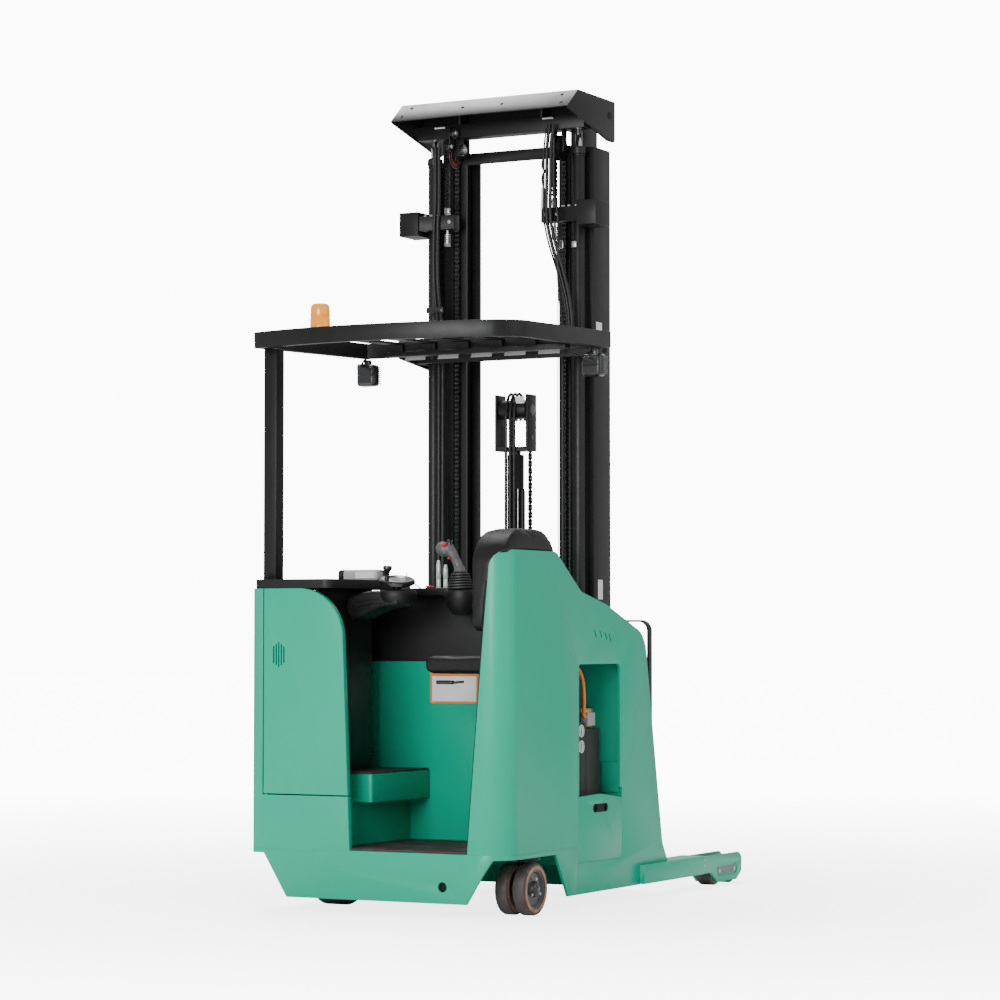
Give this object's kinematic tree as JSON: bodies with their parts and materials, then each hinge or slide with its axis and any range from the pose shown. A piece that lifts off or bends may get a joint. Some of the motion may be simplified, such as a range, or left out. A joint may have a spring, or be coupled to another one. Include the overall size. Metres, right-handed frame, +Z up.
{
  "type": "reach truck",
  "caption": "Stand-up reach truck with a three-stage mast, scissor reach, forks, overhead guard and straddle legs.",
  "frame": {"origin": "floor below the middle of the bounding box", "axes": "+Z up, +Y towards the fork tips, +X to the right as the operator faces the forks"},
  "size_m": [1.212, 2.7697, 3.411],
  "materials": {
    "amber_lens": "gloss",
    "black_cast": "satin",
    "black_paint": "satin",
    "black_plastic": "matte",
    "cable_orange": "satin",
    "chain_steel": "satin",
    "chrome_rod": "polished",
    "green_paint": "gloss",
    "hose_rubber": "satin",
    "lamp_black": "gloss",
    "mat_rubber": "matte",
    "pad_leather": "satin",
    "plug_grey": "satin",
    "tyre_pu": "satin"
  },
  "bodies": {
    "chassis": {"anchor_brackets": "black_paint", "axle_mounts": "black_cast", "back_pad": "pad_leather", "battery_cables": "cable_orange", "battery_connector": "plug_grey", "battery_pack": "black_paint", "battery_panel": "green_paint", "beacon": "amber_lens", "bulkhead": "green_paint", "cabin_lining": "black_plastic", "chassis_frame": "green_paint", "control_lever": "black_plastic", "dash_top": "black_plastic", "floor_mats": "mat_rubber", "guard_brackets": "black_paint", "hood_top": "green_paint", "kick_panel": "green_paint", "left_side_shell": "green_paint", "leg_left": "green_paint", "leg_right": "green_paint", "lever_pod": "black_plastic", "lift_barrels": "black_paint", "outer_mast": "black_paint", "overhead_guard": "black_paint", "rear_post": "black_paint", "right_side_shell": "green_paint", "steering_pod": "black_plastic", "step_box": "green_paint", "work_lights": "lamp_black"},
    "drive_unit": {"drive_unit": "black_cast"},
    "drive_wheel": {"drive_wheel": "tyre_pu"},
    "caster_fork": {"caster_fork": "black_cast"},
    "caster_wheels": {"caster_wheels": "tyre_pu"},
    "load_wheel_left_rear": {"load_wheel_left_rear": "tyre_pu"},
    "load_wheel_left_front": {"load_wheel_left_front": "tyre_pu"},
    "load_wheel_right_rear": {"load_wheel_right_rear": "tyre_pu"},
    "load_wheel_right_front": {"load_wheel_right_front": "tyre_pu"},
    "rear_door": {"rear_door": "green_paint"},
    "perch_seat": {"seat_pad": "pad_leather", "seat_bracket": "black_paint"},
    "steering_wheel": {"steering_wheel": "black_plastic"},
    "mast_middle": {"middle_mast": "black_paint", "mast_hood": "black_paint", "mast_sheaves": "black_cast", "lift_rods": "chrome_rod", "anchor_chains": "chain_steel", "hoses_middle": "hose_rubber"},
    "mast_inner": {"inner_mast": "black_paint", "freelift_barrel": "black_paint", "lift_chains": "chain_steel"},
    "freelift_head": {"freelift_head": "black_cast", "freelift_rod": "chrome_rod"},
    "lift_carriage": {"lift_carriage": "black_cast", "freelift_chains": "chain_steel"},
    "reach_arm_a": {"reach_arm_a": "black_cast"},
    "reach_arm_b": {"reach_arm_b": "black_cast"},
    "reach_head": {"reach_head": "black_cast"},
    "fork_frame": {"fork_frame": "black_cast", "load_backrest": "black_cast", "forks": "black_cast"}
  },
  "joints": [
    {"name": "drive_steer", "type": "hinge", "parent": "chassis", "child": "drive_unit", "pos_m": [-0.385, -0.91965, 0.398], "axis": [0, 0, 1], "range_deg": [-90, 90]},
    {"name": "drive_roll", "type": "hinge", "parent": "drive_unit", "child": "drive_wheel", "pos_m": [-0.385, -0.91965, 0.1715], "axis": [1, 0, 0], "continuous": true},
    {"name": "caster_turn", "type": "hinge", "parent": "chassis", "child": "caster_fork", "pos_m": [0.505, -0.96465, 0.216], "axis": [0, 0, 1], "continuous": true},
    {"name": "caster_roll", "type": "hinge", "parent": "caster_fork", "child": "caster_wheels", "pos_m": [0.505, -1.00465, 0.1045], "axis": [1, 0, 0], "continuous": true},
    {"name": "load_wheel_left_rear_roll", "type": "hinge", "parent": "chassis", "child": "load_wheel_left_rear", "pos_m": [-0.553, 0.70335, 0.0635], "axis": [1, 0, 0], "continuous": true},
    {"name": "load_wheel_left_front_roll", "type": "hinge", "parent": "chassis", "child": "load_wheel_left_front", "pos_m": [-0.553, 0.87335, 0.0635], "axis": [1, 0, 0], "continuous": true},
    {"name": "load_wheel_right_rear_roll", "type": "hinge", "parent": "chassis", "child": "load_wheel_right_rear", "pos_m": [0.553, 0.70335, 0.0635], "axis": [1, 0, 0], "continuous": true},
    {"name": "load_wheel_right_front_roll", "type": "hinge", "parent": "chassis", "child": "load_wheel_right_front", "pos_m": [0.553, 0.87335, 0.0635], "axis": [1, 0, 0], "continuous": true},
    {"name": "rear_door_swing", "type": "hinge", "parent": "chassis", "child": "rear_door", "pos_m": [-0.514, -1.28165, 0.6], "axis": [0, 0, -1], "range_deg": [0, 100]},
    {"name": "seat_fold", "type": "hinge", "parent": "chassis", "child": "perch_seat", "pos_m": [0.4304, -1.00965, 0.945], "axis": [0, -1, 0], "range_deg": [0, 80]},
    {"name": "steering", "type": "hinge", "parent": "chassis", "child": "steering_wheel", "pos_m": [-0.072, -0.98965, 1.318], "axis": [0.1452, -0.1935, 0.9703], "continuous": true},
    {"name": "mast_lift", "type": "slide", "parent": "chassis", "child": "mast_middle", "axis": [0, 0, 1], "range_m": [0, 2.4], "deforming": ["anchor_chains", "hoses_middle"]},
    {"name": "inner_lift", "type": "slide", "parent": "mast_middle", "child": "mast_inner", "axis": [0, 0, 1], "range_m": [0, 2.4], "deforming": ["lift_chains"]},
    {"name": "free_lift", "type": "slide", "parent": "mast_inner", "child": "freelift_head", "axis": [0, 0, 1], "range_m": [0, 1]},
    {"name": "carriage_lift", "type": "slide", "parent": "freelift_head", "child": "lift_carriage", "axis": [0, 0, 1], "range_m": [0, 1], "deforming": ["freelift_chains"]},
    {"name": "reach", "type": "hinge", "parent": "lift_carriage", "child": "reach_arm_a", "pos_m": [0, 0.02635, 0.925], "axis": [1, 0, 0], "range_deg": [0, 50]},
    {"name": "reach_cross", "type": "hinge", "parent": "reach_arm_a", "child": "reach_arm_b", "pos_m": [0, 0.10744, 0.54352], "axis": [1, 0, 0], "range_deg": [-100, 0]},
    {"name": "reach_level", "type": "hinge", "parent": "reach_arm_b", "child": "reach_head", "pos_m": [0, 0.18852, 0.925], "axis": [1, 0, 0], "range_deg": [0, 50]},
    {"name": "fork_tilt", "type": "hinge", "parent": "reach_head", "child": "fork_frame", "pos_m": [0, 0.18635, 0.64], "axis": [1, 0, 0], "range_deg": [-2, 4]}
  ],
  "couplings": [
    {"joint": "inner_lift", "follows": "mast_lift", "ratio": 1},
    {"joint": "carriage_lift", "follows": "free_lift", "ratio": 1},
    {"joint": "reach_cross", "follows": "reach", "ratio": -2},
    {"joint": "reach_level", "follows": "reach", "ratio": 1}
  ]
}
